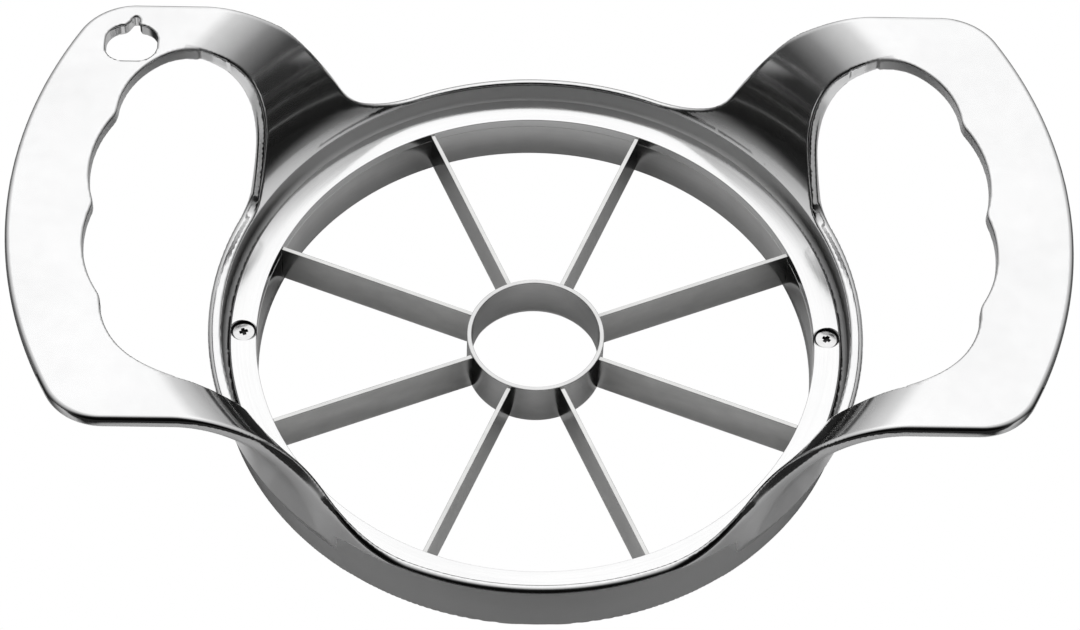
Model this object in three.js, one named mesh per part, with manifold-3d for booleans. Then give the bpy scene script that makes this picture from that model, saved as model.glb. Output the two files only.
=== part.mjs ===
// Push-down fruit slicer and corer: a cast frame with a round collar and two raised
// handles, a screwed clamp ring, a blade hoop, a core ring and eight straight blades.
// Millimetres, +Z up. The origin is at the collar's centre, level with the hoop's lower rim.
import * as THREE from 'three';
import { mergeVertices } from 'three/addons/utils/BufferGeometryUtils.js';
import Module from 'manifold-3d';

const wasm = await Module();
wasm.setup();

// clearances and counts
const fitGap = 0.3;
const overrun = 2;
const roundSteps = 96;
const smallSteps = 24;
const arcSteps = 10;

// clear opening inside the clamp ring; the hoop's wall starts a little inside it
const openingRadius = 50;
const hoopInset = 0.3;
const hoopWall = 0.6;
const hoopHeight = 7.9;

// clamp ring, lying on the hoop's rim inside the collar, a little wider than its screws' heads
const screwLand = 0.25;
const clampThickness = 1.9;
const clampBevel = 0.3;

// core ring and blades
const coreRadius = 12.3;
const coreWall = 0.8;
const coreHeight = 9.4;
const edgeRise = 0.5;
const bladeCount = 8;
const bladeDepth = 8.9;
const bladeThickness = 0.8;
const honeHeight = 1.4;
const honeThickness = 0.25;

// clamp screws
const screwHeadRadius = 1.75;
const screwHeadHeight = 1.1;
const screwSink = 0.15;
const shankRadius = 0.9;
const shankLength = 4.2;
const crossLength = 2.2;
const crossWidth = 0.45;
const crossDepth = 0.5;

// collar of the frame: its walls outside the ring's recess, and its heights from the seat
const collarWall = 1.9;
const collarTaper = 0.4;
const lipLean = 0.9;
const lipWall = 1.2;
const throatLean = 1.2;
const throatWall = 2.5;
const seatDepth = 5.5;
const collarBendDrop = 0.6;
const lipRise = 4.1;
const throatDrop = 0.7;

// flared shoulders and handle plates
const flareReach = 19;
const shoulderRise = 32.4;
const plateThickness = 2.8;
const handleReach = 32.4;
const handleHalfDepth = 45;
const tipRadius = 84;
const handleCornerRadius = 11;

// dips of the lip between the shoulders, at the front and back and beside each handle
const frontDipHalf = 22.3;
const frontDipRadius = 14;
const sideDipRun = 12.6;
const sideDipRadius = 4;
const sideDipSlope = THREE.MathUtils.degToRad(66.5);
const sideDipMargin = 1.3;

// finger openings: the arms at their ends, and the grip with its cusps outside them
const armWidth = 9.7;
const fingerInnerCorner = 3;
const cornerRun = 11.6;
const gripWidth = 14.8;
const outerCuspSet = 2.6;
const outerCuspShare = 0.561;
const outerScallopRise = 3.9;
const innerScallopRise = 2.35;
const cuspTrimShare = 0.12;

// hang hole in the outline of a fruit, outside one handle corner's centre and the arm's inner edge
const hangOutset = 0.6;
const hangHalfWidth = 4.4;
const hangHalfHeight = 4.1;
const stalkWidth = 2.1;
const stalkRise = 5.9;
const stalkLean = 0.35;

// ring and collar radii that follow from the sizes above
const hoopInnerRadius = openingRadius - hoopInset;
const boreRadius = hoopInnerRadius + hoopWall + fitGap;
const screwCircle = openingRadius + screwLand + fitGap + screwHeadRadius;
const clampOuterRadius = screwCircle * 2 - openingRadius;
const recessRadius = clampOuterRadius + fitGap;
const collarRadius = recessRadius + collarWall;
const collarFootRadius = collarRadius - collarTaper;
const lipInnerRadius = recessRadius + lipLean;
const lipOuterRadius = lipInnerRadius + lipWall;
const throatRadius = recessRadius + throatLean;
const outerThroatRadius = throatRadius + throatWall;
const flareRadius = throatRadius + flareReach;

// heights that follow
const collarBottom = hoopHeight - seatDepth;
const clampBottom = hoopHeight + fitGap;
const clampTop = clampBottom + clampThickness;
const screwTop = clampTop - screwSink;
const collarBendHeight = clampTop - collarBendDrop;
const lipHeight = clampTop + lipRise;
const throatHeight = lipHeight - throatDrop;
const plateTop = lipHeight + shoulderRise;
const plateBottom = plateTop - plateThickness;

// handles: the tip's arc, the corners' rounds, the finger opening and the hang hole
const handleTip = outerThroatRadius + handleReach;
const tipCentre = handleTip - tipRadius;
const cornerCentreY = handleHalfDepth - handleCornerRadius;
const cornerCentreX = tipCentre + Math.sqrt((tipRadius - handleCornerRadius) ** 2 - cornerCentreY ** 2);
const fingerHalfDepth = handleHalfDepth - armWidth;
const fingerStraightEnd = cornerCentreX - cornerRun;
const middleCuspX = handleTip - gripWidth;
const outerCusp = { x: middleCuspX - outerCuspSet, y: fingerHalfDepth * outerCuspShare };
const sideDipHalf = fingerHalfDepth - sideDipRun;
const sideDipWidest = fingerHalfDepth - sideDipMargin;
const hangCentre = { x: -cornerCentreX - hangOutset, y: fingerHalfDepth + hangOutset };

const polished = new THREE.MeshStandardMaterial({ color: 0xe4e5e6, roughness: 0.12, metalness: 1 });
const satin = new THREE.MeshStandardMaterial({ color: 0xc9cacb, roughness: 0.3, metalness: 1 });
const strip = new THREE.MeshStandardMaterial({ color: 0xb9babc, roughness: 0.25, metalness: 1 });
const screwSteel = new THREE.MeshStandardMaterial({ color: 0xd2d3d4, roughness: 0.2, metalness: 1 });

function solid(geometry) {
  const bare = geometry.clone();
  bare.deleteAttribute('normal');
  bare.deleteAttribute('uv');
  const merged = mergeVertices(bare);
  return new wasm.Manifold(new wasm.Mesh({
    numProp: 3,
    vertProperties: new Float32Array(merged.attributes.position.array),
    triVerts: new Uint32Array(merged.index.array),
  }));
}

function geometryOf(body) {
  const mesh = body.getMesh();
  const geometry = new THREE.BufferGeometry();
  geometry.setAttribute('position', new THREE.BufferAttribute(new Float32Array(mesh.vertProperties), 3));
  geometry.setIndex(new THREE.BufferAttribute(new Uint32Array(mesh.triVerts), 1));
  geometry.computeVertexNormals();
  return geometry;
}

// a closed profile of radius and height pairs, listed with the solid on its left, turned about Z
function turned(profile, steps) {
  const points = profile.map(([radius, height]) => new THREE.Vector2(radius, height));
  points.push(points[0].clone());
  const geometry = new THREE.LatheGeometry(points, steps);
  geometry.rotateX(Math.PI / 2);
  return geometry;
}

function upright(shape, bottom, top) {
  const geometry = new THREE.ExtrudeGeometry(shape, {
    depth: top - bottom, bevelEnabled: false, curveSegments: arcSteps,
  });
  geometry.translate(0, 0, bottom);
  return geometry;
}

// points of a quarter ellipse, from its side at the throat to its crown
function flare(centreRadius, centreHeight, reach, rise) {
  const points = [];
  for (let i = 0; i <= arcSteps; i += 1) {
    const turn = (i / arcSteps) * (Math.PI / 2);
    points.push([centreRadius - reach * Math.cos(turn), centreHeight + rise * Math.sin(turn)]);
  }
  return points;
}

// points of a round bulge that leaves the chord from one point to the next by its rise
function bulge(from, to, rise, trimStart, trimEnd) {
  const chord = Math.hypot(to.x - from.x, to.y - from.y);
  const radius = (chord * chord / 4 + rise * rise) / (2 * rise);
  const half = Math.asin(chord / 2 / radius);
  const along = { x: (to.x - from.x) / chord, y: (to.y - from.y) / chord };
  const out = { x: -along.y, y: along.x };
  const points = [];
  for (let i = 0; i <= arcSteps; i += 1) {
    const share = trimStart + (i / arcSteps) * (1 - trimStart - trimEnd);
    const turn = -half + 2 * half * share;
    const run = chord / 2 + radius * Math.sin(turn);
    const lift = radius * Math.cos(turn) - (radius - rise);
    points.push(new THREE.Vector2(
      from.x + along.x * run + out.x * lift,
      from.y + along.y * run + out.y * lift,
    ));
  }
  return points;
}

// plan outline of both handles together
function handleOutline() {
  const cornerX = cornerCentreX;
  const cornerY = cornerCentreY;
  const swing = Math.atan2(cornerY, cornerX - tipCentre);
  const shape = new THREE.Shape();
  shape.moveTo(-cornerX, -handleHalfDepth);
  shape.lineTo(cornerX, -handleHalfDepth);
  shape.absarc(cornerX, -cornerY, handleCornerRadius, -Math.PI / 2, -swing, false);
  shape.absarc(tipCentre, 0, tipRadius, -swing, swing, false);
  shape.absarc(cornerX, cornerY, handleCornerRadius, swing, Math.PI / 2, false);
  shape.lineTo(-cornerX, handleHalfDepth);
  shape.absarc(-cornerX, cornerY, handleCornerRadius, Math.PI / 2, Math.PI - swing, false);
  shape.absarc(-tipCentre, 0, tipRadius, Math.PI - swing, Math.PI + swing, false);
  shape.absarc(-cornerX, -cornerY, handleCornerRadius, Math.PI + swing, Math.PI * 1.5, false);
  return shape;
}

// plan outline of the finger opening on the +X side, with four scallops on its outer edge
function fingerOutline() {
  const cornerY = fingerHalfDepth - fingerInnerCorner;
  const cornerX = Math.sqrt((outerThroatRadius + fingerInnerCorner) ** 2 - cornerY ** 2);
  const swing = Math.atan2(cornerY, cornerX);
  const cusps = [
    { x: fingerStraightEnd, y: -fingerHalfDepth },
    { x: outerCusp.x, y: -outerCusp.y },
    { x: middleCuspX, y: 0 },
    { x: outerCusp.x, y: outerCusp.y },
    { x: fingerStraightEnd, y: fingerHalfDepth },
  ];
  const last = cusps.length - 1;
  const shape = new THREE.Shape();
  shape.moveTo(cornerX, -fingerHalfDepth);
  for (let i = 0; i < last; i += 1) {
    const outer = i === 0 || i === last - 1;
    const trimStart = i === 0 ? 0 : cuspTrimShare;
    const trimEnd = i === last - 1 ? 0 : cuspTrimShare;
    const rise = outer ? outerScallopRise : innerScallopRise;
    const arc = bulge(cusps[i + 1], cusps[i], rise, trimEnd, trimStart).reverse();
    if (i === 0) shape.lineTo(arc[0].x, arc[0].y);
    else shape.quadraticCurveTo(cusps[i].x, cusps[i].y, arc[0].x, arc[0].y);
    arc.slice(1).forEach((point) => shape.lineTo(point.x, point.y));
  }
  shape.lineTo(cornerX, fingerHalfDepth);
  shape.absarc(cornerX, cornerY, fingerInnerCorner, Math.PI / 2, Math.PI + swing, false);
  shape.absarc(0, 0, outerThroatRadius, swing, -swing, true);
  shape.absarc(cornerX, -cornerY, fingerInnerCorner, Math.PI - swing, Math.PI * 1.5, false);
  return shape;
}

// plan outline of the hang hole: a wide round fruit with a short stalk
function hangOutline() {
  const halfStalk = stalkWidth / 2;
  const open = Math.asin(halfStalk / hangHalfWidth);
  const tip = hangCentre.y + stalkRise;
  const shape = new THREE.Shape();
  shape.absellipse(
    hangCentre.x, hangCentre.y, hangHalfWidth, hangHalfHeight,
    Math.PI / 2 + open, Math.PI * 2.5 - open, false, 0,
  );
  shape.lineTo(hangCentre.x + stalkLean + halfStalk, tip - halfStalk);
  shape.quadraticCurveTo(
    hangCentre.x + stalkLean + halfStalk, tip, hangCentre.x + stalkLean, tip,
  );
  shape.quadraticCurveTo(
    hangCentre.x + stalkLean - halfStalk, tip, hangCentre.x + stalkLean - halfStalk, tip - halfStalk,
  );
  return shape;
}

// a trough with rounded feet, cut into the lip along Y; its sides lean by the slope as far as
// its widest, and stand upright above that
function dip(half, radius, slope, widest, length) {
  const top = plateTop + overrun;
  const foot = half + radius * Math.sin(slope);
  const footHeight = lipHeight + radius * (1 - Math.cos(slope));
  const bend = footHeight + (widest - foot) * Math.tan(slope);
  const shape = new THREE.Shape();
  shape.moveTo(-half, lipHeight);
  shape.lineTo(half, lipHeight);
  shape.absarc(half, lipHeight + radius, radius, -Math.PI / 2, -Math.PI / 2 + slope, false);
  shape.lineTo(widest, bend);
  shape.lineTo(widest, top);
  shape.lineTo(-widest, top);
  shape.lineTo(-widest, bend);
  shape.absarc(-half, lipHeight + radius, radius, -Math.PI / 2 - slope, -Math.PI / 2, false);
  const geometry = new THREE.ExtrudeGeometry(shape, {
    depth: length, bevelEnabled: false, curveSegments: arcSteps,
  });
  geometry.translate(0, 0, -length / 2);
  geometry.rotateX(Math.PI / 2);
  return geometry;
}

function frame() {
  const reach = flareRadius - throatRadius;
  const outerReach = flareRadius - outerThroatRadius;
  const inner = flare(flareRadius, throatHeight, reach, plateTop - throatHeight);
  const outer = flare(flareRadius, throatHeight, outerReach, plateBottom - throatHeight);
  const rim = handleTip + overrun;
  const bell = solid(turned([
    [boreRadius, collarBottom],
    [collarFootRadius, collarBottom],
    [collarRadius, collarBendHeight],
    ...outer,
    [rim, plateBottom],
    [rim, plateTop],
    ...inner.slice(1).reverse(),
    [lipInnerRadius, lipHeight],
    [recessRadius, clampTop],
    [recessRadius, hoopHeight],
    [boreRadius, hoopHeight],
  ], roundSteps));

  const collarHeight = plateTop - collarBottom;
  const collarDisc = new THREE.CylinderGeometry(
    lipOuterRadius, lipOuterRadius, collarHeight + overrun * 2, roundSteps,
  );
  collarDisc.rotateX(Math.PI / 2);
  collarDisc.translate(0, 0, collarBottom + collarHeight / 2);
  const outline = solid(upright(handleOutline(), collarBottom - overrun, plateTop + overrun));

  const finger = solid(upright(fingerOutline(), collarBottom - overrun, plateTop + overrun));
  const frontWidest = frontDipHalf + frontDipRadius;
  const frontDip = solid(
    dip(frontDipHalf, frontDipRadius, Math.PI / 2, frontWidest, handleTip * 2),
  );
  const sideDip = solid(
    dip(sideDipHalf, sideDipRadius, sideDipSlope, sideDipWidest, fingerStraightEnd * 2)
      .rotateZ(Math.PI / 2),
  );
  const hang = solid(upright(hangOutline(), plateBottom - overrun, plateTop + overrun));
  let body = bell.intersect(outline.add(solid(collarDisc)))
    .subtract(finger)
    .subtract(finger.rotate([0, 0, 180]))
    .subtract(frontDip)
    .subtract(sideDip)
    .subtract(hang);

  const holeRadius = shankRadius + fitGap;
  const holeDepth = screwHeadHeight + shankLength + fitGap;
  [1, -1].forEach((side) => {
    const hole = new THREE.CylinderGeometry(holeRadius, holeRadius, holeDepth, smallSteps);
    hole.rotateX(Math.PI / 2);
    hole.translate(side * screwCircle, 0, screwTop - holeDepth / 2);
    body = body.subtract(solid(hole));
  });
  return body;
}

// screw turned about Z, with its head's top at height zero; grown by a gap it is its own hole
function screwBlank(gap, rise) {
  const headFoot = -screwHeadHeight;
  const tip = headFoot - shankLength - gap;
  return solid(turned([
    [0, tip],
    [shankRadius + gap, tip],
    [shankRadius + gap, headFoot],
    [screwHeadRadius + gap, 0],
    [screwHeadRadius + gap, rise],
    [0, rise],
  ], smallSteps));
}

function clampRing() {
  let body = solid(turned([
    [openingRadius, clampBottom],
    [clampOuterRadius, clampBottom],
    [clampOuterRadius, clampTop - clampBevel],
    [clampOuterRadius - clampBevel, clampTop],
    [openingRadius, clampTop],
  ], roundSteps));
  [1, -1].forEach((side) => {
    body = body.subtract(screwBlank(fitGap, overrun).translate([side * screwCircle, 0, screwTop]));
  });
  return body;
}

function bladeHoop() {
  return turned([
    [hoopInnerRadius, 0],
    [hoopInnerRadius + hoopWall, 0],
    [hoopInnerRadius + hoopWall, hoopHeight],
    [hoopInnerRadius, hoopHeight],
  ], roundSteps);
}

function coreRing() {
  const innerRadius = coreRadius - coreWall;
  const lower = coreRadius - honeThickness;
  return turned([
    [lower, edgeRise],
    [coreRadius, edgeRise],
    [coreRadius, edgeRise + coreHeight],
    [innerRadius, edgeRise + coreHeight],
    [innerRadius, edgeRise + honeHeight],
  ], roundSteps);
}

// strip along X, on edge, ground to a keen lower edge
function blade() {
  const start = coreRadius + fitGap;
  const end = hoopInnerRadius - fitGap;
  const half = bladeThickness / 2;
  const keen = honeThickness / 2;
  const section = new THREE.Shape();
  section.moveTo(-keen, edgeRise);
  section.lineTo(keen, edgeRise);
  section.lineTo(half, edgeRise + honeHeight);
  section.lineTo(half, edgeRise + bladeDepth);
  section.lineTo(-half, edgeRise + bladeDepth);
  section.lineTo(-half, edgeRise + honeHeight);
  const geometry = new THREE.ExtrudeGeometry(section, { depth: end - start, bevelEnabled: false });
  geometry.translate(0, 0, start);
  geometry.rotateX(Math.PI / 2);
  geometry.rotateZ(Math.PI / 2);
  return geometry;
}

function screw() {
  let body = screwBlank(0, 0);
  [[crossLength, crossWidth], [crossWidth, crossLength]].forEach(([width, depth]) => {
    const slot = new THREE.BoxGeometry(width, depth, crossDepth * 2);
    body = body.subtract(solid(slot));
  });
  return body;
}

const group = new THREE.Group();

function place(name, geometry, material) {
  const mesh = new THREE.Mesh(geometry, material);
  mesh.name = name;
  group.add(mesh);
  return mesh;
}

place('frame', geometryOf(frame()), satin);
place('clamp_ring', geometryOf(clampRing()), polished);
place('blade_hoop', bladeHoop(), strip);
place('core_ring', coreRing(), strip);

for (let i = 0; i < bladeCount; i += 1) {
  const mesh = place(`blade_${i + 1}`, blade(), strip);
  mesh.rotation.z = ((i + 0.5) / bladeCount) * Math.PI * 2;
}

const screwGeometry = geometryOf(screw());
place('screw_left', screwGeometry, screwSteel).position.set(-screwCircle, 0, screwTop);
place('screw_right', screwGeometry, screwSteel).position.set(screwCircle, 0, screwTop);

export default group;
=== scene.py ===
import math

import bpy
import numpy as np
from mathutils import Matrix, Vector


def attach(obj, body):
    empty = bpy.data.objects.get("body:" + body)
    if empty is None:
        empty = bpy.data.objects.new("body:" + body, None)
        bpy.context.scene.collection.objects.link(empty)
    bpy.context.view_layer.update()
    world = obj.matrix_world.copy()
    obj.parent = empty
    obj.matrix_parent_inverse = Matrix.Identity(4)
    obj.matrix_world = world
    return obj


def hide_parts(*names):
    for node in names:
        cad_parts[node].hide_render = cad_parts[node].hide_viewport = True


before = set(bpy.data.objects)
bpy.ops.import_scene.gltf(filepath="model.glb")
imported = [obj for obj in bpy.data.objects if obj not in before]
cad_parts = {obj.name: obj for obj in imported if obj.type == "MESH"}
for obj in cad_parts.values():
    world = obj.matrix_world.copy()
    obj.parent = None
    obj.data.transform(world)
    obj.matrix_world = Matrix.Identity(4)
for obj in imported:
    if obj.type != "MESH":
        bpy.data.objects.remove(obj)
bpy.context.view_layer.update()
scene = bpy.context.scene
mm = 0.001
# added to what is divided by, so that it is never nil
tiny = 1e-9
print("stage: frame loaded")


# helpers for modelling as by hand

def deselectAll():
    if bpy.context.object and bpy.context.object.mode != "OBJECT":
        bpy.ops.object.mode_set(mode="OBJECT")
    bpy.ops.object.select_all(action="DESELECT")


def pick(piece):
    deselectAll()
    bpy.context.view_layer.objects.active = piece
    piece.select_set(True)


def startEdit(piece, how="VERT"):
    pick(piece)
    bpy.ops.object.mode_set(mode="EDIT")
    bpy.ops.mesh.select_mode(type=how)
    bpy.ops.mesh.select_all(action="SELECT")


def endEdit():
    bpy.ops.object.mode_set(mode="OBJECT")


def closeEdit():
    # the edit ends with every face looking outward
    bpy.ops.mesh.select_all(action="SELECT")
    bpy.ops.mesh.normals_make_consistent(inside=False)
    endEdit()


def extrudeBy(rise):
    bpy.ops.mesh.extrude_region_move(TRANSFORM_OT_translate={"value": (0, 0, rise * mm)})


def selectUnderside(piece, steepest=-0.9):
    # picks the faces that look straight down, or nearly
    bpy.ops.object.mode_set(mode="OBJECT")
    for group in (piece.data.vertices, piece.data.edges, piece.data.polygons):
        group.foreach_set("select", [False] * len(group))
    for face in piece.data.polygons:
        face.select = face.normal.z < steepest
    bpy.ops.object.mode_set(mode="EDIT")


def applyAll(piece):
    pick(piece)
    for modifier in list(piece.modifiers):
        bpy.ops.object.modifier_apply(modifier=modifier.name)


def settlePlace(piece):
    pick(piece)
    bpy.ops.object.transform_apply(location=True, rotation=True, scale=True)


def smoothShade(piece, limit):
    # edges sharper than the limit, in degrees, stay sharp
    pick(piece)
    bpy.ops.object.shade_smooth_by_angle(angle=math.radians(limit))


def softenEdges(piece, width, segments=2, limit=30):
    bevel = piece.modifiers.new("softEdges", "BEVEL")
    bevel.width = width * mm
    bevel.segments = segments
    bevel.limit_method = "ANGLE"
    bevel.angle_limit = math.radians(limit)
    bevel.harden_normals = False
    applyAll(piece)
    smoothShade(piece, limit)


def cutAway(piece, cutter):
    boolean = piece.modifiers.new("cut", "BOOLEAN")
    boolean.operation = "DIFFERENCE"
    boolean.solver = "EXACT"
    boolean.object = cutter
    applyAll(piece)
    bpy.data.objects.remove(cutter)


def turnProfile(name, profile, steps, weld=0.002):
    # a circle is extruded and scaled from one profile point to the next, then welded
    radius, height = profile[0]
    deselectAll()
    bpy.ops.mesh.primitive_circle_add(vertices=steps, radius=radius * mm, fill_type="NOTHING",
                                      location=(0, 0, height * mm))
    piece = bpy.context.object
    piece.name = piece.data.name = name
    settlePlace(piece)
    startEdit(piece)
    for nextRadius, nextHeight in profile[1:] + profile[:1]:
        extrudeBy(nextHeight - height)
        grow = nextRadius / radius
        bpy.ops.transform.resize(value=(grow, grow, 1), center_override=(0, 0, 0))
        radius, height = nextRadius, nextHeight
    bpy.ops.mesh.select_all(action="SELECT")
    bpy.ops.mesh.remove_doubles(threshold=weld * mm)
    closeEdit()
    return piece


def quarterTurn(radius, height, soft, side, count):
    # profile points round an upper edge; side 1 is an outer edge, -1 an inner one
    points = []
    for i in range(count + 1):
        angle = math.pi / 2 * i / count
        points.append((radius - side * soft * (1 - math.cos(angle)),
                       height - soft * (1 - math.sin(angle))))
    return points


def copyTurned(piece, name, angle):
    twin = piece.copy()
    twin.data = piece.data.copy()
    twin.name = twin.data.name = name
    bpy.context.collection.objects.link(twin)
    twin.rotation_euler = (0, 0, angle)
    settlePlace(twin)
    return twin


def wear(piece, material):
    piece.data.materials.clear()
    piece.data.materials.append(material)


def standFor(piece, node):
    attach(piece, "root")
    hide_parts(node)


# camera at the photograph's angle: its place, and which ways its right, top and back point

view = {"lens": 112.563, "sensor": 36, "clip": (0.01, 20), "place": (-13.313, -357.313, 498.786),
        "right": (0.99964161, -0.00304595, 0.02659635),
        "up": (-0.01336332, 0.80408991, 0.59435749),
        "back": (-0.02319624, -0.5944999, 0.80376104)}
cameraData = bpy.data.cameras.new("photoCamera")
camera = bpy.data.objects.new("photoCamera", cameraData)
bpy.context.collection.objects.link(camera)
cameraData.sensor_width = view["sensor"]
cameraData.lens = view["lens"]
cameraData.clip_start, cameraData.clip_end = view["clip"]
turn = Matrix([view[side] for side in ("right", "up", "back")]).transposed().to_4x4()
camera.matrix_world = Matrix.Translation(Vector(view["place"]) * mm) @ turn
scene.camera = camera


# both screws stand on this circle, through the ring and into the casting
screwCircle = 52.3


# the casting: collar, shoulders and both handles in one

casting = {
    "boreRadius": 50.6, "seatHeight": 7.9, "recessRadius": 54.9,
    "flankRadius": 55.75, "flankSway": 0.45, "flankTop": 16.2, "flankLean": 0.15,
    "grooveFloor": 9.2, "grooveRound": 1.1,
    "footHeight": 2.4, "bendRadius": 56.8, "bendHeight": 9.5, "bendBlend": 1.5,
    "wallFacing": (0.998, 0.056), "underFacing": (0.912, 0.41),
    "throatRadius": 56.1, "outerThroatRadius": 58.6, "throatHeight": 13.5, "throatOverlap": 0.5,
    "bellSway": 0.6, "bellLean": 0.01, "flareRadius": 75.1, "plateTop": 46.6, "plateBottom": 43.8,
    "halfDepth": 45.0, "tipCentre": 7.0, "tipRadius": 84.0, "cornerRadius": 11.0,
    "lipHeight": 14.2, "lipRadius": 57.0, "collarBlend": 2.0, "wallEases": (16.0, 0.00324),
    "frontDip": {"half": 22.3, "radius": 14.0, "slope": 74.0, "ring": 57.0},
    "sideDip": {"half": 22.7, "radius": 4.0, "slope": 66.0, "ring": 59.0}, "sideDipTop": 5.0,
    "fingerHalfDepth": 35.3, "fingerInner": 66.0, "fingerStraight": 60.0,
    "outerScallop": (58.02, 19.84, 15.58), "innerScallop": (55.04, 7.29, 22.39), "cuspRound": 0.7,
    "hangPlace": (-72.25, 35.85), "hangHalf": (4.57, 4.1), "hangRound": 3.4,
    "stalkFoot": (-72.1, 39.9, 1.15), "stalkTip": (-71.75, 41.3, 0.68), "stalkBlend": 0.7,
    "screwHole": 1.2, "screwHoleFoot": 4.35,
    # roundings of the edges, and the heights or places between which one gives way to the next
    "lipEdge": 1.35, "slopeEdge": 1.1, "slopeUp": (14.6, 17.5), "plateEdge": 1.05,
    "plateUp": (30.0, 40.0), "aheadFrom": (38.0, 41.0),
    "bandShares": (2.27, 1.17), "bandAcross": 0.8, "bandRound": 0.35, "bandUp": (18.0, 24.0),
    "bandDown": (-44.0, -38.0),
    "wallRound": 0.3, "shoulderRound": 1.2, "underRound": 1.0, "underUp": (34.0, 43.0),
    "shoulderFrom": (33.0, 37.0), "shoulderUp": (15.0, 22.0),
    "dipRound": 0.5, "fingerRound": 0.5, "hangEdge": 0.4, "footRound": 0.3,
    # the skin: the space searched, its cells, and how it settles
    "skinLow": (-92.5, -58.5, 1.3), "skinHigh": (92.5, 58.5, 47.7), "grain": 0.42,
    "relaxRounds": 2, "relaxFactor": 0.5, "relaxSteps": 2, "settleRounds": 2,
    "leastSlope": 0.3, "longestStep": 0.4, "faces": 190000,
}


def roundedBoth(a, b, radius):
    # the space inside both, with its edge rounded
    inside = np.minimum(np.maximum(a, b), -radius)
    return inside + np.hypot(np.maximum(a + radius, 0), np.maximum(b + radius, 0))


def blendedEither(a, b, width):
    # the space inside either, with the crease between them filled
    share = np.maximum(width - np.abs(a - b), 0) / width
    return np.minimum(a, b) - share * share * width / 4


def bellOf(r, z, reach, rise):
    # about how far a point lies outside the quarter ellipse that the flare follows
    c = casting
    u = np.maximum(c["flareRadius"] - r, 0) / reach
    v = np.maximum(z - c["throatHeight"], 0) / rise
    size = np.hypot(u, v) + tiny
    return size * (size - 1) / (np.hypot(u / reach, v / rise) + tiny)


def roundedCorner(x, y, flat, centreX, centreY, radius, low, high):
    # a fillet about the centre, between the two directions in degrees
    angle = np.degrees(np.arctan2(y - centreY, x - centreX))
    inFillet = (angle > low) & (angle < high)
    return np.where(inFillet, np.hypot(x - centreX, y - centreY) - radius, flat)


def hollowOf(x, y, z, r):
    # over nil where the top is open: above the plates, inside the bell, in the groove beside
    # the ring and over the ring's seat
    c = casting
    inward = y * y / (r * r + tiny) * (c["bellSway"] + c["bellLean"] * (z - c["throatHeight"]))
    bell = bellOf(r + inward, z, c["flareRadius"] - c["throatRadius"],
                  c["plateTop"] - c["throatHeight"])
    sway = c["flankSway"] * (x * x - y * y) / (r * r + tiny)
    opens = c["flankLean"] * np.maximum(z - c["lipHeight"], 0)
    groove = roundedBoth(r - c["flankRadius"] - sway - opens, c["grooveFloor"] - z, c["grooveRound"])
    flank = np.maximum(np.maximum(-groove, c["recessRadius"] - r), z - c["flankTop"])
    seat = np.maximum(c["boreRadius"] - r, z - c["seatHeight"])
    return np.minimum(np.minimum(bell, flank), seat)


def shellOf(r, z):
    # below the plates and outside the bell, the collar's wall and its foot
    c = casting
    bell = -bellOf(r, z, c["flareRadius"] - c["outerThroatRadius"],
                   c["plateBottom"] - c["throatHeight"])

    def outside(outward, downward):
        # how far out a point lies from the slope through the bend that faces this way
        return outward * (r - c["bendRadius"]) - downward * (z - c["bendHeight"])

    walls = blendedEither(outside(*c["wallFacing"]), outside(*c["underFacing"]), c["bendBlend"])
    return np.maximum(bell, np.minimum(walls, c["throatHeight"] + c["throatOverlap"] - z))


def handlePlan(x, y):
    # both handles seen from above: straight long sides, bowed tips and round corners
    c = casting
    x, y = np.abs(x), np.abs(y)
    cornerY = c["halfDepth"] - c["cornerRadius"]
    reach = c["tipRadius"] - c["cornerRadius"]
    cornerX = c["tipCentre"] + math.sqrt(reach ** 2 - cornerY ** 2)
    low = math.degrees(math.atan2(cornerY, cornerX - c["tipCentre"]))
    flat = np.maximum(y - c["halfDepth"], np.hypot(x - c["tipCentre"], y) - c["tipRadius"])
    return roundedCorner(x, y, flat, cornerX, cornerY, c["cornerRadius"], low, 90)


def fingerPlan(x, y, r):
    # a finger hole from above: between straight ends, beyond the shell, within four scallops
    c = casting
    x, y = np.abs(x), np.abs(y)
    outerX, outerY, outerR = c["outerScallop"]
    innerX, innerY, innerR = c["innerScallop"]
    scallops = blendedEither(np.hypot(x - outerX, y - outerY) - outerR,
                             np.hypot(x - innerX, y - innerY) - innerR, c["cuspRound"])
    scallops = blendedEither(scallops, np.hypot(x - innerX, y + innerY) - innerR, c["cuspRound"])
    scallops = np.minimum(scallops, x - c["fingerStraight"])
    inner = np.minimum(c["fingerInner"] - r, c["fingerStraight"] - x)
    return np.maximum(np.maximum(y - c["fingerHalfDepth"], inner), scallops)


def hangPlan(x, y):
    # the hang hole from above: a rounded body and a stalk that narrows
    c = casting
    placeX, placeY = c["hangPlace"]
    halfX, halfY = c["hangHalf"]
    soft = c["hangRound"]
    body = np.hypot(np.maximum(np.abs(x - placeX) - (halfX - soft), 0),
                    np.maximum(np.abs(y - placeY) - (halfY - soft), 0)) - soft
    footX, footY, footR = c["stalkFoot"]
    tipX, tipY, tipR = c["stalkTip"]
    alongX, alongY = tipX - footX, tipY - footY
    share = ((x - footX) * alongX + (y - footY) * alongY) / (alongX ** 2 + alongY ** 2)
    share = np.clip(share, 0, 1)
    stalk = np.hypot(x - footX - share * alongX, y - footY - share * alongY)
    return blendedEither(body, stalk - footR - share * (tipR - footR), c["stalkBlend"])


def between(value, low, high):
    # a soft step from nil to one
    share = np.clip((value - low) / (high - low), 0, 1)
    return share * share * (3 - 2 * share)


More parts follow.
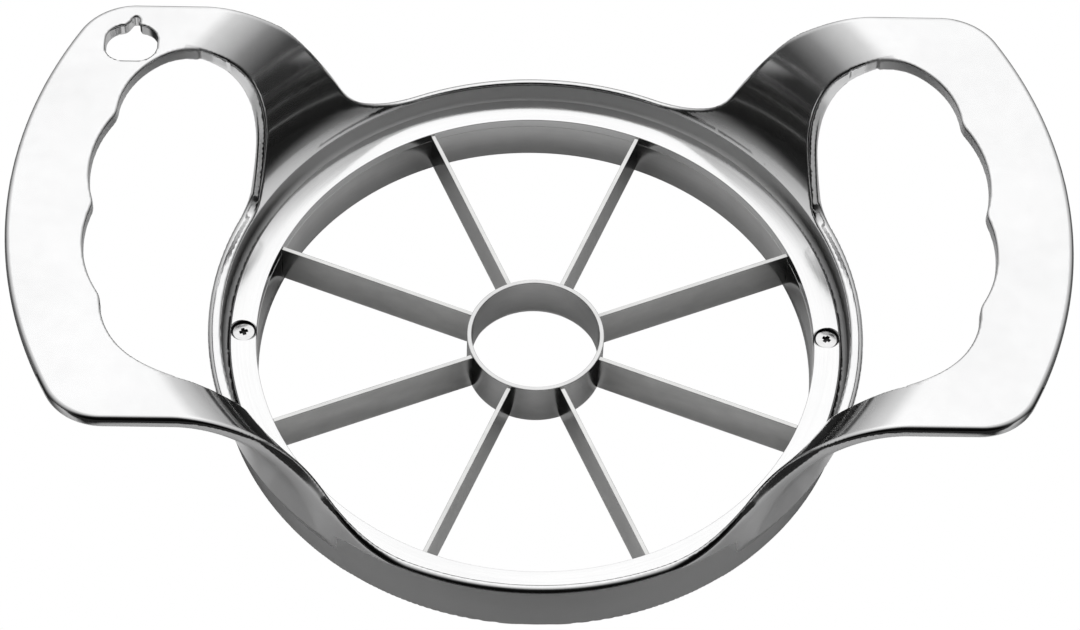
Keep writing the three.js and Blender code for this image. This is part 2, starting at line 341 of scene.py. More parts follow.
def dipOf(across, z, r, half, radius, slope, ring):
    # a dip in the collar's rim, square to the wall: flat, a hollow corner, then a slope
    low = casting["lipHeight"]
    along = np.abs(across) * ring / (r + tiny)
    lean = math.radians(slope)
    rise = (along - half) * math.sin(lean) - (z - low - radius) * math.cos(lean) - radius
    return roundedCorner(along, z, np.maximum(rise, low - z), half, low + radius, radius,
                         -90, slope - 90)


def topOf(points):
    # what lies under the plates' tops, the bell, the groove and the four dips
    c = casting
    x, y, z = points.T
    r = np.hypot(x, y)
    frontDip = dipOf(x, z, r, **c["frontDip"])
    sideDip = roundedBoth(dipOf(y, z, r, **c["sideDip"]), np.abs(y) - c["fingerHalfDepth"],
                          c["sideDipTop"])
    sideDip = np.maximum(sideDip, np.abs(x) - c["fingerStraight"])
    return roundedBoth(hollowOf(x, y, z, r), -np.minimum(frontDip, sideDip), c["dipRound"])


def aroundOf(points):
    # what lies within the outline, over the shell's underside and over the foot
    c = casting
    x, y, z = points.T
    r = np.hypot(x, y)
    easeFrom, ease = c["wallEases"]
    wall = r - c["lipRadius"] + ease * np.maximum(easeFrom - z, 0) ** 2
    plan = blendedEither(handlePlan(x, y), wall, c["collarBlend"])
    under = c["shoulderRound"] + (c["underRound"] - c["shoulderRound"]) * between(z, *c["underUp"])
    shell = shellOf(r, z)
    here = between(np.abs(x), *c["shoulderFrom"]) * between(z, *c["shoulderUp"])
    under = c["wallRound"] + (under - c["wallRound"]) * here
    around = roundedBoth(shell, plan, under)
    return roundedBoth(around, c["footHeight"] - z, c["footRound"])


def slopeOf(distance, points, step=0.02):
    # how fast the distance grows along each axis
    slope = np.empty_like(points)
    for axis in range(3):
        shift = np.zeros(3)
        shift[axis] = step
        slope[:, axis] = distance(points + shift) - distance(points - shift)
    return slope / (2 * step)


def castingDistance(points):
    # roughly how far each point lies outside the casting; below nil it is inside
    c = casting
    x, y, z = points.T
    r = np.hypot(x, y)
    slopeAhead = between(np.abs(y), *c["aheadFrom"])
    edge = c["lipEdge"] + (c["slopeEdge"] - c["lipEdge"]) * between(z, *c["slopeUp"]) * slopeAhead
    edge += (c["plateEdge"] - edge) * between(z, *c["plateUp"])
    top, around = topOf(points), aroundOf(points)
    solid = roundedBoth(top, around, edge)
    # the shoulders' thin rim ends in a narrow band of its own
    onShoulder = between(z, *c["bandUp"]) * between(-z, *c["bandDown"]) * slopeAhead
    band = c["bandShares"][0] * top + c["bandShares"][1] * around + c["bandAcross"]
    rimmed = roundedBoth(roundedBoth(top, band, c["bandRound"]), around, c["bandRound"])
    solid += onShoulder * (rimmed - solid)
    solid = roundedBoth(solid, -fingerPlan(x, y, r), c["fingerRound"])
    solid = roundedBoth(solid, -hangPlan(x, y), c["hangEdge"])
    hole = np.maximum(np.hypot(np.abs(x) - screwCircle, y) - c["screwHole"],
                      c["screwHoleFoot"] - z)
    return np.maximum(solid, -hole)


def settleOnCasting(piece, rounds):
    # moves every vertex onto the casting's true surface, edges rounded
    points = np.empty(len(piece.data.vertices) * 3, np.float32)
    piece.data.vertices.foreach_get("co", points)
    points = points.reshape(-1, 3).astype(float) / mm
    longest = casting["longestStep"]
    for _ in range(rounds):
        slope = slopeOf(castingDistance, points)
        size = np.maximum((slope ** 2).sum(1), casting["leastSlope"])
        step = np.clip(castingDistance(points) / size, -longest, longest)
        points -= slope * step[:, None]
    piece.data.vertices.foreach_set("co", (points * mm).astype(np.float32).ravel())
    piece.data.update()
    return points


def skinOf(distance, low, high, step, slabCells=24):
    # a closed skin of quads where the distance is nil: one corner in each cell that it crosses
    counts = [int(math.ceil((high[i] - low[i]) / step)) + 1 for i in range(3)]
    axes = [low[i] + step * np.arange(counts[i]) for i in range(3)]
    field = np.empty(counts, np.float32)
    for start in range(0, counts[0], slabCells):
        end = start + slabCells
        x, y, z = np.meshgrid(axes[0][start:end], axes[1], axes[2], indexing="ij")
        slab = distance(np.stack((x.ravel(), y.ravel(), z.ravel()), axis=1))
        field[start:end] = slab.reshape(x.shape)
    inside = field < 0

    def shifted(array, i, j, k):
        return array[i:i + counts[0] - 1, j:j + counts[1] - 1, k:k + counts[2] - 1]

    # each crossed cell's corner lies in the middle of the places where its edges are crossed
    ways = [(i, j, k) for i in (0, 1) for j in (0, 1) for k in (0, 1)]
    filled = sum(shifted(inside, *way).astype(np.int8) for way in ways)
    cells = np.argwhere((filled > 0) & (filled < 8))
    number = np.full(filled.shape, -1, np.int64)
    number[tuple(cells.T)] = np.arange(len(cells))
    total = np.zeros((len(cells), 3))
    crossings = np.zeros(len(cells))
    for way in ways:
        for axis in range(3):
            if way[axis]:
                continue
            first = cells + way
            second = first + np.eye(3, dtype=int)[axis]
            a = field[tuple(first.T)].astype(float)
            b = field[tuple(second.T)].astype(float)
            crossed = (a < 0) != (b < 0)
            share = np.where(crossed, a / np.where(crossed, a - b, 1), 0)
            total += (first + share[:, None] * (second - first)) * crossed[:, None]
            crossings += crossed
    points = np.array(low) + step * total / crossings[:, None]
    # each crossed edge gets a quad through the four cells round it
    faces = []
    for axis in range(3):
        one, two = (axis + 1) % 3, (axis + 2) % 3
        here = [slice(None)] * 3
        there = [slice(None)] * 3
        here[axis], there[axis] = slice(0, -1), slice(1, None)
        a, b = inside[tuple(here)], inside[tuple(there)]
        for leaving, order in ((a & ~b, (0, 1, 3, 2)), (~a & b, (0, 2, 3, 1))):
            edges = np.argwhere(leaving)
            around = []
            for back in ((0, 0), (1, 0), (0, 1), (1, 1)):
                cell = edges.copy()
                cell[:, one] -= 1 - back[0]
                cell[:, two] -= 1 - back[1]
                around.append(number[tuple(cell.T)])
            faces.append(np.stack([around[i] for i in order], axis=1))
    return points, np.concatenate(faces)


def makeFrame():
    c = casting
    points, faces = skinOf(castingDistance, c["skinLow"], c["skinHigh"], c["grain"])
    mesh = bpy.data.meshes.new("cast_frame")
    mesh.from_pydata((points * mm).tolist(), [], faces.tolist())
    piece = bpy.data.objects.new("cast_frame", mesh)
    bpy.context.collection.objects.link(piece)
    for _ in range(c["relaxRounds"]):
        relax = piece.modifiers.new("relax", "SMOOTH")
        relax.factor = c["relaxFactor"]
        relax.iterations = c["relaxSteps"]
        applyAll(piece)
        settleOnCasting(piece, c["settleRounds"])
    print("casting faces before thinning:", len(mesh.polygons))
    thin = piece.modifiers.new("thin", "DECIMATE")
    thin.ratio = min(1.0, c["faces"] / (2 * len(piece.data.polygons)))
    applyAll(piece)
    points = settleOnCasting(piece, c["settleRounds"])
    bpy.ops.object.shade_smooth()
    slope = slopeOf(castingDistance, points)
    slope /= np.linalg.norm(slope, axis=1)[:, None]
    piece.data.normals_split_custom_set_from_vertices(slope.tolist())
    print("casting faces:", len(piece.data.polygons))
    return piece


castFrame = makeFrame()
print("stage: casting made")


# clamp ring with its two countersunk holes

clampRing = {"inner": 50.0, "outer": 54.75, "bottom": 7.93, "top": 10.1, "innerTop": 9.75,
             "innerRound": 0.12, "outerRound": 0.35, "roundSteps": (5, 8), "steps": 288,
             "mouthRadius": 2.44, "mouthDepth": 0.2, "seatRadius": 2.25, "sinkDepth": 1.05,
             "holeRadius": 1.2, "holeSteps": 48, "ledge": 0.01, "room": 1.0, "sharpFrom": 30}


def makeSinkCutter(side):
    # a plug in the shape of one screw's hole, drawn up from below the ring to above it
    c = clampRing
    deselectAll()
    bpy.ops.mesh.primitive_circle_add(
        vertices=c["holeSteps"], radius=c["holeRadius"] * mm, fill_type="NGON",
        location=(side * screwCircle * mm, 0, (c["bottom"] - c["room"]) * mm))
    cutter = bpy.context.object
    startEdit(cutter)
    seat = c["top"] - c["sinkDepth"]
    for rise, grow in ((seat - c["bottom"] + c["room"], 1),
                       (c["ledge"], c["seatRadius"] / c["holeRadius"]),
                       (c["sinkDepth"] - c["mouthDepth"], 1),
                       (c["mouthDepth"], c["mouthRadius"] / c["seatRadius"]),
                       (c["room"], 1)):
        extrudeBy(rise)
        if grow != 1:
            bpy.ops.transform.resize(value=(grow, grow, 1))
    closeEdit()
    settlePlace(cutter)
    return cutter


def makeClampRing():
    c = clampRing
    innerSteps, outerSteps = c["roundSteps"]
    piece = turnProfile("clamp_ring_polished",
                        [(c["inner"], c["bottom"]), (c["outer"], c["bottom"])]
                        + quarterTurn(c["outer"], c["top"], c["outerRound"], 1, outerSteps)
                        + quarterTurn(c["inner"], c["innerTop"], c["innerRound"], -1,
                                      innerSteps)[::-1], c["steps"])
    for side in (-1, 1):
        cutAway(piece, makeSinkCutter(side))
    smoothShade(piece, c["sharpFrom"])
    return piece


ringPiece = makeClampRing()
print("stage: clamp ring made")


# blade hoop and core ring

bladeHoop = {"inner": 49.97, "wall": 0.4, "height": 7.9, "soft": 0.02, "steps": 288}
coreRing = {"radius": 12.3, "wall": 0.8, "bottom": 0.5, "top": 9.9, "hone": 1.4, "edge": 0.25,
            "soft": 0.12, "softFrom": 12, "steps": 144}


def makeHoop():
    c = bladeHoop
    inner, outer = c["inner"], c["inner"] + c["wall"]
    piece = turnProfile("blade_hoop_steel", [(inner, 0), (outer, 0), (outer, c["height"]),
                                             (inner, c["height"])], c["steps"])
    softenEdges(piece, c["soft"])
    return piece


def makeCore():
    c = coreRing
    inner, outer = c["radius"] - c["wall"], c["radius"]
    piece = turnProfile("core_ring_steel", [
        (outer - c["edge"], c["bottom"]), (outer, c["bottom"]), (outer, c["top"]),
        (inner, c["top"]), (inner, c["bottom"] + c["hone"])], c["steps"])
    softenEdges(piece, c["soft"], limit=c["softFrom"])
    return piece


hoopPiece = makeHoop()
corePiece = makeCore()
print("stage: hoop and core made")


# eight blades, one made and copied in eight directions

blade = {"count": 8, "start": 12.3, "end": 49.93, "thickness": 0.8, "bottom": 0.5, "top": 9.4,
         "hone": 1.4, "edge": 0.25, "soft": 0.09, "softFrom": 12}


def makeBlade():
    c = blade
    deselectAll()
    length, depth = c["end"] - c["start"], c["top"] - c["bottom"] - c["hone"]
    bpy.ops.mesh.primitive_cube_add(size=1, location=((c["start"] + length / 2) * mm, 0,
                                                      (c["top"] - depth / 2) * mm))
    piece = bpy.context.object
    piece.scale = (length * mm, c["thickness"] * mm, depth * mm)
    settlePlace(piece)
    startEdit(piece, "FACE")
    selectUnderside(piece)
    extrudeBy(-c["hone"])
    bpy.ops.transform.resize(value=(1, c["edge"] / c["thickness"], 1))
    closeEdit()
    softenEdges(piece, c["soft"], limit=c["softFrom"])
    return piece


firstBlade = makeBlade()
bladePieces = []
# the handles' axis lies midway between two blades
for i in range(blade["count"]):
    angle = (i + 0.5) / blade["count"] * math.tau
    bladePieces.append(copyTurned(firstBlade, f"blade_strip_{i + 1}", angle))
bpy.data.objects.remove(firstBlade)
print("stage: blades made")


# screws with cross recesses

screw = {"top": 9.45, "headRadius": 2.0, "headHeight": 0.38, "headRim": ((0.0, 0.12), (0.1, 0.02)),
         "dome": 0.12, "domeCurve": ((0.62, 0.75), (0.3, 1.0)), "domeTop": 1.08, "axisGap": 0.02,
         "shankRadius": 0.9, "shankLength": 4.4, "shankChamfer": (0.2, 0.3),
         "crossLength": 2.0, "crossWidth": 0.86, "crossDepth": 0.8, "crossUp": 0.3,
         "crossTaper": 0.65, "steps": 48, "sharpFrom": 35, "turns": {-1: 20, 1: 55}}


def makeScrew(side, name):
    c = screw
    top, neck = c["top"], c["top"] - c["headHeight"]
    foot = neck - c["shankLength"]
    chamferIn, chamferUp = c["shankChamfer"]
    profile = [(c["axisGap"], foot), (c["shankRadius"] - chamferIn, foot),
               (c["shankRadius"], foot + chamferUp), (c["shankRadius"], neck),
               (c["headRadius"], neck)]
    # the rim by its distances from the head's side and top, the dome by shares of the head
    profile += [(c["headRadius"] - inset, top - drop) for inset, drop in c["headRim"]]
    profile += [(c["headRadius"] * out, top + c["dome"] * rise) for out, rise in c["domeCurve"]]
    profile.append((c["axisGap"], top + c["dome"] * c["domeTop"]))
    piece = turnProfile(name, profile, c["steps"])
    for angle in (0, 90):
        deselectAll()
        bpy.ops.mesh.primitive_cube_add(size=1, location=(0, 0, (top + c["crossUp"]) * mm))
        cutter = bpy.context.object
        cutter.scale = (c["crossLength"] * mm, c["crossWidth"] * mm, 2 * c["crossDepth"] * mm)
        cutter.rotation_euler = (0, 0, math.radians(angle + c["turns"][side]))
        settlePlace(cutter)
        startEdit(cutter, "FACE")
        selectUnderside(cutter)
        bpy.ops.transform.resize(value=(c["crossTaper"], c["crossTaper"], 1),
                                 center_override=(0, 0, 0))
        endEdit()
        cutAway(piece, cutter)
    pick(piece)
    piece.location = (side * screwCircle * mm, 0, 0)
    settlePlace(piece)
    smoothShade(piece, c["sharpFrom"])
    return piece


screwLeft = makeScrew(-1, "screw_left_steel")
screwRight = makeScrew(1, "screw_right_steel")
print("stage: screws made")


# shared effects

def newGroup(name, inputs, outputs):
    # an input whose value is None takes a vector, any other a number
    group = bpy.data.node_groups.new(name, "ShaderNodeTree")
    for label, value in inputs:
        kind = "NodeSocketVector" if value is None else "NodeSocketFloat"
        socket = group.interface.new_socket(label, in_out="INPUT", socket_type=kind)
        if value is not None:
            socket.default_value = value
    for label, kind in outputs:
        group.interface.new_socket(label, in_out="OUTPUT", socket_type=kind)
    entry = group.nodes.new("NodeGroupInput")
    leave = group.nodes.new("NodeGroupOutput")
    return group, entry, leave


def feed(tree, socket, value):
    # another node's output is linked, anything else is set
    if isinstance(value, bpy.types.NodeSocket):
        tree.links.new(value, socket)
    else:
        socket.default_value = value


def addMath(tree, operation, first, second=0):
    node = tree.nodes.new("ShaderNodeMath")
    node.operation = operation
    for socket, value in zip(node.inputs, (first, second)):
        feed(tree, socket, value)
    return node.outputs[0]


def multiply(tree, first, *others):
    for other in others:
        first = addMath(tree, "MULTIPLY", first, other)
    return first


def absolute(tree, value):
    return addMath(tree, "ABSOLUTE", value)


def mapRange(tree, value, fromLow, fromHigh, toLow, toHigh, smooth=True):
    node = tree.nodes.new("ShaderNodeMapRange")
    if smooth:
        node.interpolation_type = "SMOOTHSTEP"
    for label, amount in (("Value", value), ("From Min", fromLow), ("From Max", fromHigh),
                          ("To Min", toLow), ("To Max", toHigh)):
        feed(tree, node.inputs[label], amount)
    return node.outputs["Result"]


def axesOf(tree, place):
    split = tree.nodes.new("ShaderNodeSeparateXYZ")
    tree.links.new(place, split.inputs[0])
    return [split.outputs[axis] for axis in "XYZ"]


def joinAxes(tree, *amounts):
    join = tree.nodes.new("ShaderNodeCombineXYZ")
    for socket, amount in zip(join.inputs, amounts):
        feed(tree, socket, amount)
    return join.outputs[0]


def lengthOf(tree, vector):
    node = tree.nodes.new("ShaderNodeVectorMath")
    node.operation = "LENGTH"
    tree.links.new(vector, node.inputs[0])
    return node.outputs["Value"]


def makeNoise(tree, detail):
    node = tree.nodes.new("ShaderNodeTexNoise")
    node.inputs["Detail"].default_value = detail
    return node


def mottleGroup():
    # broad cloudy variation with a finer one over it
    group, entry, leave = newGroup(
        "polishMottle", [("Place", None), ("Scale", 60.0), ("Fine", 6.0), ("FineShare", 0.35)],
        [("Mask", "NodeSocketFloat")])
    scale, share = entry.outputs["Scale"], entry.outputs["FineShare"]
    broad, fine = makeNoise(group, detail=3), makeNoise(group, detail=4)
    for node in (broad, fine):
        group.links.new(entry.outputs["Place"], node.inputs["Vector"])
    group.links.new(scale, broad.inputs["Scale"])
    group.links.new(multiply(group, scale, entry.outputs["Fine"]), fine.inputs["Scale"])
    broadPart = multiply(group, broad.outputs["Fac"], addMath(group, "SUBTRACT", 1, share))
    whole = addMath(group, "ADD", broadPart, multiply(group, fine.outputs["Fac"], share))
    group.links.new(whole, leave.inputs["Mask"])
    return group


def brushGroup():
    # fine scratches drawn out along the local X of the place given
    group, entry, leave = newGroup(
        "brushedLines", [("Place", None), ("Across", 4000.0), ("Along", 60.0)],
        [("Mask", "NodeSocketFloat")])
    drawn = [multiply(group, axis, entry.outputs[label]) for axis, label in
             zip(axesOf(group, entry.outputs["Place"]), ("Along", "Across", "Across"))]
    noise = makeNoise(group, detail=2)
    noise.inputs["Scale"].default_value = 1
    group.links.new(joinAxes(group, *drawn), noise.inputs["Vector"])
    group.links.new(noise.outputs["Fac"], leave.inputs["Mask"])
    return group


def sunkenGroup():
    # one in the small sunk places on the screws' axes, where the colour is painted near black as
    # shade
    group, entry, leave = newGroup(
        "sunkenPaintedShade", [("Place", None), ("Circle", screwCircle * mm), ("Inner", 0.001),
                        ("Outer", 0.002), ("Low", 0.009), ("High", 0.01)],
        [("Mask", "NodeSocketFloat")])
    x, y, z = axesOf(group, entry.outputs["Place"])
    beside = addMath(group, "SUBTRACT", absolute(group, x), entry.outputs["Circle"])
    inside = mapRange(group, lengthOf(group, joinAxes(group, beside, y)),
                      entry.outputs["Inner"], entry.outputs["Outer"], 1, 0)
    below = mapRange(group, z, entry.outputs["Low"], entry.outputs["High"], 1, 0)
    group.links.new(multiply(group, inside, below), leave.inputs["Mask"])
    return group


mottle = mottleGroup()
brushed = brushGroup()
sunken = sunkenGroup()


def useGroup(tree, group, place, **values):
    node = tree.nodes.new("ShaderNodeGroup")
    node.node_tree = group
    tree.links.new(place, node.inputs["Place"])
    for label, value in values.items():
        node.inputs[label].default_value = value
    return node.outputs["Mask"]


def stretch(tree, value, toLow, toHigh, fromLow=0.3, fromHigh=0.7):
    # the middle of a noise's range drawn out to the whole of another
    return mapRange(tree, value, fromLow, fromHigh, toLow, toHigh, smooth=False)


def grooveMask(tree, place, look):
    # first a mask that is one in the collar's groove, where the polishing wheel didn't reach,
    # then one that grows towards the collar's front and back; with them the groove is painted
    # darker towards the collar's sides, as painted shade
    x, y, z = axesOf(tree, place)
    away = lengthOf(tree, joinAxes(tree, x, y))
    inside = mapRange(tree, away, *look["grooveAcross"], 1, 0)
    below = mapRange(tree, z, *look["grooveUp"], 1, 0)
    lengthways = addMath(tree, "DIVIDE", absolute(tree, y), away)
    return multiply(tree, inside, below), mapRange(tree, lengthways, *look["grooveEnds"], 0, 1)


def gripMask(tree, place, look):
    # one on the walls of the finger holes and below the plates, which keep a satin finish
    x, y, z = axesOf(tree, place)
    outward = mapRange(tree, absolute(tree, x), *look["gripAcross"], 0, 1)
    within = mapRange(tree, absolute(tree, y), *look["gripHalf"], 1, 0)
    below = mapRange(tree, z, *look["gripUp"], 1, 0)
    return multiply(tree, outward, within, below)


def mixTone(tree, mask, first, second):
    # each tone is a grey level, a colour or another node's output; inputs 6 and 7 and output 2
    # are the node's sockets for colours
    node = tree.nodes.new("ShaderNodeMix")
    node.data_type = "RGBA"
    tree.links.new(mask, node.inputs[0])
    for socket, tone in ((node.inputs[6], first), (node.inputs[7], second)):
        if isinstance(tone, float):
            tone = (tone, tone, tone)
        feed(tree, socket, (*tone, 1) if isinstance(tone, tuple) else tone)
    return node.outputs[2]


def roughen(tree, rough, mask, amount):
    # the roughness grows by the amount where the mask is one
    return addMath(tree, "ADD", rough, mapRange(tree, mask, 0, 1, 0, amount))


def steel(name, look, turned=False):
    material = bpy.data.materials.new(name)
    material.use_nodes = True
    tree = material.node_tree
    surface = tree.nodes["Principled BSDF"]
    surface.inputs["Metallic"].default_value = 1
    place = tree.nodes.new("ShaderNodeTexCoord").outputs["Object"]
    clouds = useGroup(tree, mottle, place, Scale=look["cloudScale"], Fine=look["cloudFine"])
    drawnAlong = place
    if turned:
        # lathe marks run round the axis, so they are drawn along the angle
        x, y, z = axesOf(tree, place)
        angle = addMath(tree, "ARCTAN2", y, x)
        drawnAlong = joinAxes(tree, multiply(tree, angle, look["latheReach"]),
                              lengthOf(tree, joinAxes(tree, x, y)), z)
    lines = useGroup(tree, brushed, drawnAlong, Across=look["across"], Along=look["along"])
    both = addMath(tree, "ADD", multiply(tree, clouds, 1 - look["lineShare"]),
                   multiply(tree, lines, look["lineShare"]))
    rough = stretch(tree, both, *look["roughness"])
    colour = mixTone(tree, stretch(tree, both, 0, 1), look["dark"], look["light"])
    if "grooveUp" in look:
        mask, lengthways = grooveMask(tree, place, look)
        rough = roughen(tree, rough, mask, look["grooveRough"])
        feed(tree, surface.inputs["Metallic"],
             mapRange(tree, multiply(tree, mask, lengthways), 0, 1, 1, look["grooveMetal"]))
        # the groove's colour is painted darker towards the collar's sides: painted shade in the
        # groove
        colour = mixTone(tree, mask, colour, mixTone(tree, lengthways, *look["grooveSkinAndShadeTones"]))
        rough = roughen(tree, rough, gripMask(tree, place, look), look["gripRough"])
    # the sunk places round and in the screws are painted near black: painted shade
    if "sinkUp" in look:
        (inner, outer), (low, high) = look["sinkAcross"], look["sinkUp"]
        mask = useGroup(tree, sunken, place, Inner=inner, Outer=outer, Low=low, High=high)
        rough = roughen(tree, rough, mask, look["sinkRough"])
        colour = mixTone(tree, mask, colour, look["sinkShadeTone"])
    tree.links.new(rough, surface.inputs["Roughness"])
    tree.links.new(colour, surface.inputs["Base Color"])
    bump = tree.nodes.new("ShaderNodeBump")
    bump.inputs["Distance"].default_value = look["bump"] * mm
    bump.inputs["Strength"].default_value = 1
    tree.links.new(both, bump.inputs["Height"])
    tree.links.new(bump.outputs[0], surface.inputs["Normal"])
    return material


# places and reaches in the looks are in metres, as the shaders see them; bumps in millimetres
# castLook's groove tones are painted shade at the collar's sides and a pale skin at its front and
# back
castLook = {"cloudScale": 60.0, "cloudFine": 6.0, "across": 900.0, "along": 900.0, "lineShare": 0.1,
            "roughness": (0.08, 0.16), "dark": (0.84, 0.84, 0.842), "light": (0.92, 0.92, 0.922),
            "bump": 0.008, "grooveAcross": (0.0568, 0.0575), "grooveUp": (0.0131, 0.0138),
            "grooveEnds": (0.35, 0.8), "grooveRough": 0.35, "grooveMetal": 0.0,
            "grooveSkinAndShadeTones": (0.3, 0.9), "gripAcross": (0.057, 0.059), "gripHalf": (0.0357, 0.036),
            "gripUp": (0.0461, 0.0464), "gripRough": 0.35}
# the sink tones in the ring's look and the screws' are painted shade in the sunk places
ringLook = {"cloudScale": 45.0, "cloudFine": 4.0, "across": 3000.0, "along": 60.0, "lineShare": 0.5,
            "latheReach": 0.05, "roughness": (0.1, 0.2), "dark": (0.86, 0.86, 0.862),
            "light": (0.94, 0.94, 0.94), "bump": 0.003, "sinkAcross": (0.00242, 0.00246),
            "sinkUp": (0.0097, 0.00985), "sinkShadeTone": 0.05, "sinkRough": 0.3}
hoopLook = {"cloudScale": 80.0, "cloudFine": 4.0, "across": 1500.0, "along": 90.0, "lineShare": 0.3,
            "latheReach": 0.05, "roughness": (0.14, 0.26), "dark": (0.66, 0.66, 0.66),
            "light": (0.8, 0.8, 0.795), "bump": 0.004}
bladeLook = {"cloudScale": 90.0, "cloudFine": 4.0, "across": 700.0, "along": 100.0,
             "lineShare": 0.3, "roughness": (0.12, 0.24), "dark": (0.62, 0.62, 0.615),
             "light": (0.8, 0.8, 0.79), "bump": 0.004}
screwLook = {"cloudScale": 300.0, "cloudFine": 5.0, "across": 3000.0, "along": 300.0,
             "lineShare": 0.4, "roughness": (0.1, 0.2), "dark": (0.7, 0.7, 0.7),
             "light": (0.88, 0.88, 0.88), "bump": 0.004, "sinkAcross": (0.0011, 0.0012),
             "sinkUp": (0.0092, 0.00938), "sinkShadeTone": 0.05, "sinkRough": 0.3}

wear(castFrame, steel("castPolish", castLook))
wear(ringPiece, steel("ringPolish", ringLook, turned=True))
wear(hoopPiece, steel("hoopSteel", hoopLook, turned=True))
wear(corePiece, steel("coreSteel", hoopLook, turned=True))
bladeSteel = steel("bladeSteel", bladeLook)
for piece in bladePieces:
    wear(piece, bladeSteel)
screwSteel = steel("screwSteel", screwLook)
for piece in (screwLeft, screwRight):
    wear(piece, screwSteel)
print("stage: materials made")

standFor(castFrame, "frame")
standFor(ringPiece, "clamp_ring")
standFor(hoopPiece, "blade_hoop")
standFor(corePiece, "core_ring")
for i, piece in enumerate(bladePieces):
    standFor(piece, f"blade_{i + 1}")
standFor(screwLeft, "screw_left")
standFor(screwRight, "screw_right")


# pale floor and soft studio light

def showWhite(tree, lit, white, output):
    # the lens sees the white shader, and every other ray the lit one
    mixer = tree.nodes.new("ShaderNodeMixShader")
    path = tree.nodes.new("ShaderNodeLightPath")
    for socket, source in zip(mixer.inputs, (path.outputs["Is Camera Ray"], lit.outputs[0],
                                             white.outputs[0])):
        tree.links.new(source, socket)
    tree.links.new(mixer.outputs[0], tree.nodes[output].inputs["Surface"])


# places are in metres, the drop in millimetres, and what is farBehind, cornerAhead or
# cornerBeside is the share of the way from the middle that goes backwards or sideways
floorLook = {"size": 4.0, "drop": 0.4, "roughness": 0.9, "specular": 0.1, "white": 1.0,
             "paper": 0.8, "beyond": 0.03, "reach": (0.106, 0.118), "front": (-0.08, -0.074),
             "bow": 0.1, "far": 0.75, "farBehind": (0.4, 0.85), "farAway": (0.2, 0.25),
             "corner": 0.9, "cornerAhead": (-0.5, -0.2), "cornerBeside": (0.8, 0.87),
             "opening": 0.05, "openingAway": (0.047, 0.055), "lateLength": (0.02, 0.035),
             "lateDepth": (1.2, 1.8), "glow": 0.3, "glowInner": (0.056, 0.06),
             "glowOuter": (0.084, 0.09), "glowHalf": (0.03, 0.036)}


def makeFloor():
    # pale paper round the part; the lens sees the whole floor as plain white
    c = floorLook
    deselectAll()
    bpy.ops.mesh.primitive_plane_add(size=c["size"], location=(0, 0, -c["drop"] * mm))
    floor = bpy.context.object
    floor.name = "floor"
    settlePlace(floor)
    material = bpy.data.materials.new("floorPaper")
    material.use_nodes = True
    tree = material.node_tree
    paper = tree.nodes["Principled BSDF"]
    paper.inputs["Roughness"].default_value = c["roughness"]
    paper.inputs["Specular IOR Level"].default_value = c["specular"]
    place = tree.nodes.new("ShaderNodeTexCoord").outputs["Object"]
    away = lengthOf(tree, place)
    x, y, _ = axesOf(tree, place)
    wide, endways = absolute(tree, x), absolute(tree, y)
    tone = mapRange(tree, away, *c["reach"], c["paper"], c["beyond"])
    # its front edge bows in a little at the middle
    edge = addMath(tree, "ADD", y, multiply(tree, wide, c["bow"]))
    ahead = mapRange(tree, edge, *c["front"], c["beyond"], c["paper"])
    tone = addMath(tree, "MINIMUM", tone, ahead)
    # behind the part the floor grows light again farther out
    behind = addMath(tree, "DIVIDE", y, away)
    far = multiply(tree, mapRange(tree, behind, *c["farBehind"], 0, c["far"]),
                   mapRange(tree, away, *c["farAway"], 0, 1))
    # and so it does beyond the handles' front corners
    beside = addMath(tree, "DIVIDE", wide, away)
    corner = multiply(tree, mapRange(tree, behind, *c["cornerAhead"], c["corner"], 0),
                      mapRange(tree, beside, *c["cornerBeside"], 0, 1))
    tone = addMath(tree, "MAXIMUM", tone, addMath(tree, "MAXIMUM", far, corner))
    # the opening's floor lies in shade for what looks at it from the shoulders
    path = tree.nodes.new("ShaderNodeLightPath")
    late = addMath(tree, "MAXIMUM",
                   mapRange(tree, path.outputs["Ray Length"], *c["lateLength"], 0, 1),
                   mapRange(tree, path.outputs["Ray Depth"], *c["lateDepth"], 0, 1))
    inside = multiply(tree, mapRange(tree, away, *c["openingAway"], 1, 0), late)
    shade = mapRange(tree, inside, 0, 1, 1, c["opening"], smooth=False)
    tree.links.new(multiply(tree, tone, shade), paper.inputs["Base Color"])
    # a pale glow comes up through the finger holes
    glow = multiply(tree, mapRange(tree, wide, *c["glowInner"], 0, c["glow"]),
                    mapRange(tree, endways, *c["glowHalf"], 1, 0),
                    mapRange(tree, wide, *c["glowOuter"], 1, 0))
    tree.links.new(glow, paper.inputs["Emission Color"])
    paper.inputs["Emission Strength"].default_value = 1
    white = tree.nodes.new("ShaderNodeEmission")
    white.inputs["Strength"].default_value = c["white"]
    showWhite(tree, paper, white, "Material Output")
    wear(floor, material)


makeFloor()


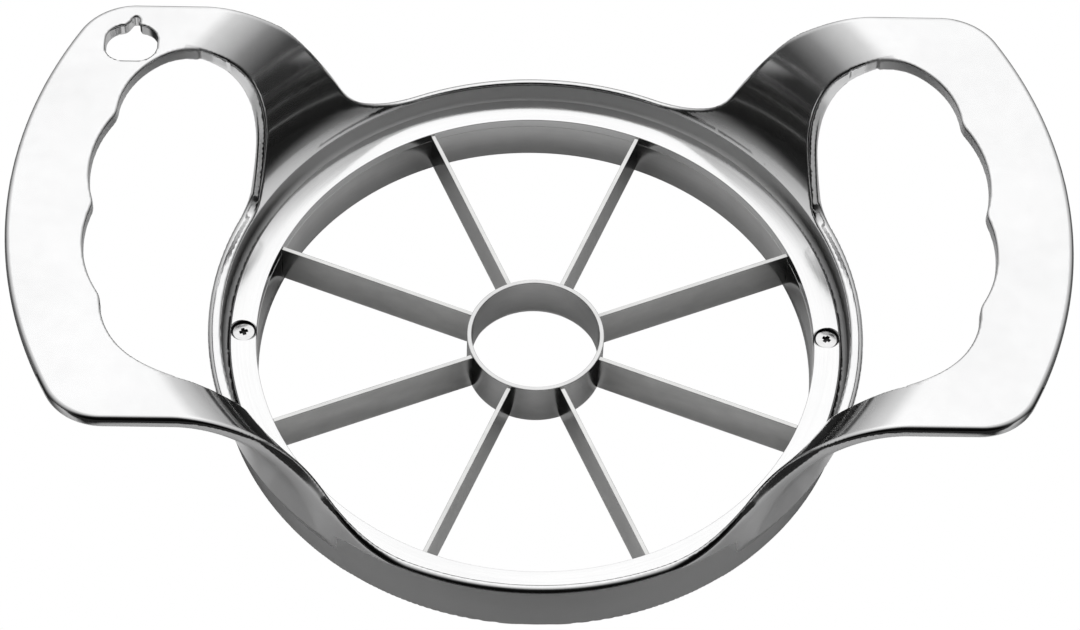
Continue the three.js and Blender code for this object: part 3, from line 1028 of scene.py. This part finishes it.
# the levels go by how nearly a direction points to the light's middle, up and to the back
skyLook = {"towards": (0.5, 0.866), "front": (-0.58, -0.1), "frontLeft": 0.03, "frontBow": 0.35,
           "panel": 0.93, "panelAcross": (0.16, 0.3), "panelBack": (0.3, 0.5), "white": 1.0,
           "levels": [(0.0, 0.06), (0.3, 0.24), (0.45, 0.42), (0.6, 0.55), (0.7, 0.64),
                      (0.8, 0.72), (0.88, 0.9), (0.94, 1.07), (1.0, 1.1)]}


def makeWorld():
    # one broad soft light high at the back, fading to a dark room at the sides and in front
    c = skyLook
    world = bpy.data.worlds.new("studio")
    scene.world = world
    world.use_nodes = True
    tree = world.node_tree
    background = tree.nodes["Background"]
    x, y, z = axesOf(tree, tree.nodes.new("ShaderNodeTexCoord").outputs["Generated"])
    across = absolute(tree, x)
    backward, upward = c["towards"]
    near = addMath(tree, "ADD", multiply(tree, y, backward), multiply(tree, z, upward))
    over = tree.nodes.new("ShaderNodeValToRGB")
    ramp = over.color_ramp.elements
    ramp[0].position, ramp[1].position = c["levels"][0][0], c["levels"][-1][0]
    for spot, _ in c["levels"][1:-1]:
        ramp.new(spot)
    for element, (_, level) in zip(ramp, c["levels"]):
        element.color = (level, level, level, 1)
    tree.links.new(near, over.inputs[0])
    frontness = addMath(tree, "ADD", y, multiply(tree, across, c["frontBow"]))
    front = mapRange(tree, frontness, *c["front"], c["frontLeft"], 1)
    # a narrow bright panel straight behind the part
    panel = multiply(tree, mapRange(tree, across, *c["panelAcross"], 1, 0),
                     mapRange(tree, y, *c["panelBack"], 0, c["panel"]))
    light = addMath(tree, "MAXIMUM", multiply(tree, over.outputs["Color"], front), panel)
    tree.links.new(light, background.inputs["Color"])
    white = tree.nodes.new("ShaderNodeBackground")
    white.inputs["Color"].default_value = (1, 1, 1, 1)
    for node, strength in ((background, 1), (white, c["white"])):
        node.inputs["Strength"].default_value = strength
    showWhite(tree, background, white, "World Output")


makeWorld()
scene.view_settings.view_transform = "Standard"
print("stage: studio made")
